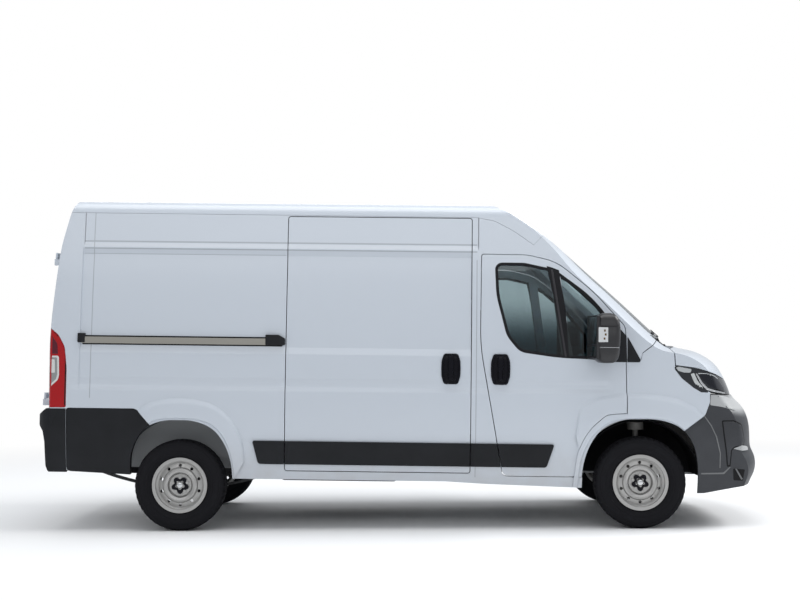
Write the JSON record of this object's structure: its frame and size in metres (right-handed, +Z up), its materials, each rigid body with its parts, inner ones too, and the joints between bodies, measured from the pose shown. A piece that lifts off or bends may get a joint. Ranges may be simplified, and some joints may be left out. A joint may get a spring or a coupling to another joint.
{
  "type": "panel van",
  "caption": "High-roof panel van with hinged cab, rear and bonnet doors, closed sliding side door, steel wheels that steer and turn, and a bare load space.",
  "frame": {"origin": "on the ground, under the middle of the van's box", "axes": "+X to the front, +Y to the van's left, +Z up"},
  "size_m": [5.4873, 2.6848, 2.5262],
  "materials": {
    "body_paint": "solid pale blue-grey white paint, gloss",
    "dark_plastic": "grained charcoal moulding",
    "liner_plastic": "ribbed grey liner",
    "window_glass": "tinted, clean",
    "headlamp_lens": "clear polycarbonate lens",
    "tail_lens": "red lens with clear and smoked parts",
    "rail_metal": "satin runner rail with black end caps",
    "hinge_paint": "painted steel hinge",
    "wheel_steel": "silver painted pressed steel",
    "tyre_rubber": "black road tyre",
    "chassis_black": "black coated steel",
    "floor_paint": "grey primer",
    "cast_metal": "as cast",
    "exhaust_steel": "dull steel",
    "engine_metal": "plain block",
    "seat_fabric": "dark woven seat cloth",
    "dash_plastic": "soft-touch dark grey",
    "wheel_rim_plastic": "black grained rim"
  },
  "bodies": {
    "body": {"side_wall_left": "body_paint", "side_wall_right": "body_paint", "roof": "body_paint", "windscreen": "window_glass", "sliding_door": "body_paint", "side_strips": "dark_plastic", "door_rail": "rail_metal", "rear_hinges": "hinge_paint", "tail_lamps": "tail_lens", "rear_bumper": "dark_plastic", "scuttle": "dark_plastic", "front_wings": "body_paint", "headlamps": "headlamp_lens", "grille": "dark_plastic", "front_bumper": "dark_plastic", "floor": "floor_paint", "bulkhead": "floor_paint", "front_liners": "dark_plastic", "rear_liners": "liner_plastic", "engine": "engine_metal", "dashboard": "dash_plastic", "steering_wheel": "wheel_rim_plastic", "driver_seat": "seat_fabric", "bench_seat": "seat_fabric", "seat_bases": "chassis_black", "front_subframe": "chassis_black", "rear_axle": "chassis_black", "fuel_tank": "dark_plastic", "exhaust": "exhaust_steel", "spare_wheel": "tyre_rubber"},
    "cab_door_right": {"cab_door_right": "body_paint", "cab_glass_right": "window_glass", "cab_trim_right": "dark_plastic"},
    "cab_door_left": {"cab_door_left": "body_paint", "cab_glass_left": "window_glass", "cab_trim_left": "dark_plastic"},
    "rear_door_right": {"rear_door_right": "body_paint"},
    "rear_door_left": {"rear_door_left": "body_paint"},
    "bonnet": {"bonnet": "body_paint"},
    "steer_right": {"knuckle_right": "cast_metal"},
    "steer_left": {"knuckle_left": "cast_metal"},
    "wheel_front_right": {"tyre_front_right": "tyre_rubber", "wheel_front_right": "wheel_steel"},
    "wheel_front_left": {"tyre_front_left": "tyre_rubber", "wheel_front_left": "wheel_steel"},
    "wheel_rear_right": {"tyre_rear_right": "tyre_rubber", "wheel_rear_right": "wheel_steel"},
    "wheel_rear_left": {"tyre_rear_left": "tyre_rubber", "wheel_rear_left": "wheel_steel"}
  },
  "joints": [
    {"name": "cab_door_right_hinge", "type": "hinge", "parent": "body", "child": "cab_door_right", "pos_m": [1.62564, -1.022, 0.86898], "axis": [0.0195, 0, 0.9998], "range_deg": [0, 68]},
    {"name": "cab_door_left_hinge", "type": "hinge", "parent": "body", "child": "cab_door_left", "pos_m": [1.62564, 1.022, 0.86898], "axis": [-0.0195, 0, -0.9998], "range_deg": [0, 68]},
    {"name": "rear_door_right_hinge", "type": "hinge", "parent": "body", "child": "rear_door_right", "pos_m": [-2.74043, -0.925, 0.7543], "axis": [0.0805, 0, 0.9968], "range_deg": [0, 180]},
    {"name": "rear_door_left_hinge", "type": "hinge", "parent": "body", "child": "rear_door_left", "pos_m": [-2.74043, 0.925, 0.7543], "axis": [-0.0805, 0, -0.9968], "range_deg": [0, 180]},
    {"name": "bonnet_hinge", "type": "hinge", "parent": "body", "child": "bonnet", "pos_m": [1.98239, 0, 1.3641], "axis": [0, -1, 0], "range_deg": [0, 50]},
    {"name": "steer_right", "type": "hinge", "parent": "body", "child": "steer_right", "pos_m": [1.7585, -0.765, 0.34], "axis": [0, 0, 1], "range_deg": [-34, 34]},
    {"name": "steer_left", "type": "hinge", "parent": "body", "child": "steer_left", "pos_m": [1.7585, 0.765, 0.34], "axis": [0, 0, 1], "range_deg": [-34, 34]},
    {"name": "spin_front_right", "type": "hinge", "parent": "steer_right", "child": "wheel_front_right", "pos_m": [1.7585, -0.905, 0.34], "axis": [0, 1, 0], "continuous": true},
    {"name": "spin_front_left", "type": "hinge", "parent": "steer_left", "child": "wheel_front_left", "pos_m": [1.7585, 0.905, 0.34], "axis": [0, 1, 0], "continuous": true},
    {"name": "spin_rear_right", "type": "hinge", "parent": "body", "child": "wheel_rear_right", "pos_m": [-1.6915, -0.895, 0.34], "axis": [0, 1, 0], "continuous": true},
    {"name": "spin_rear_left", "type": "hinge", "parent": "body", "child": "wheel_rear_left", "pos_m": [-1.6915, 0.895, 0.34], "axis": [0, 1, 0], "continuous": true}
  ],
  "couplings": [
    {"joint": "steer_left", "follows": "steer_right", "ratio": 1}
  ]
}
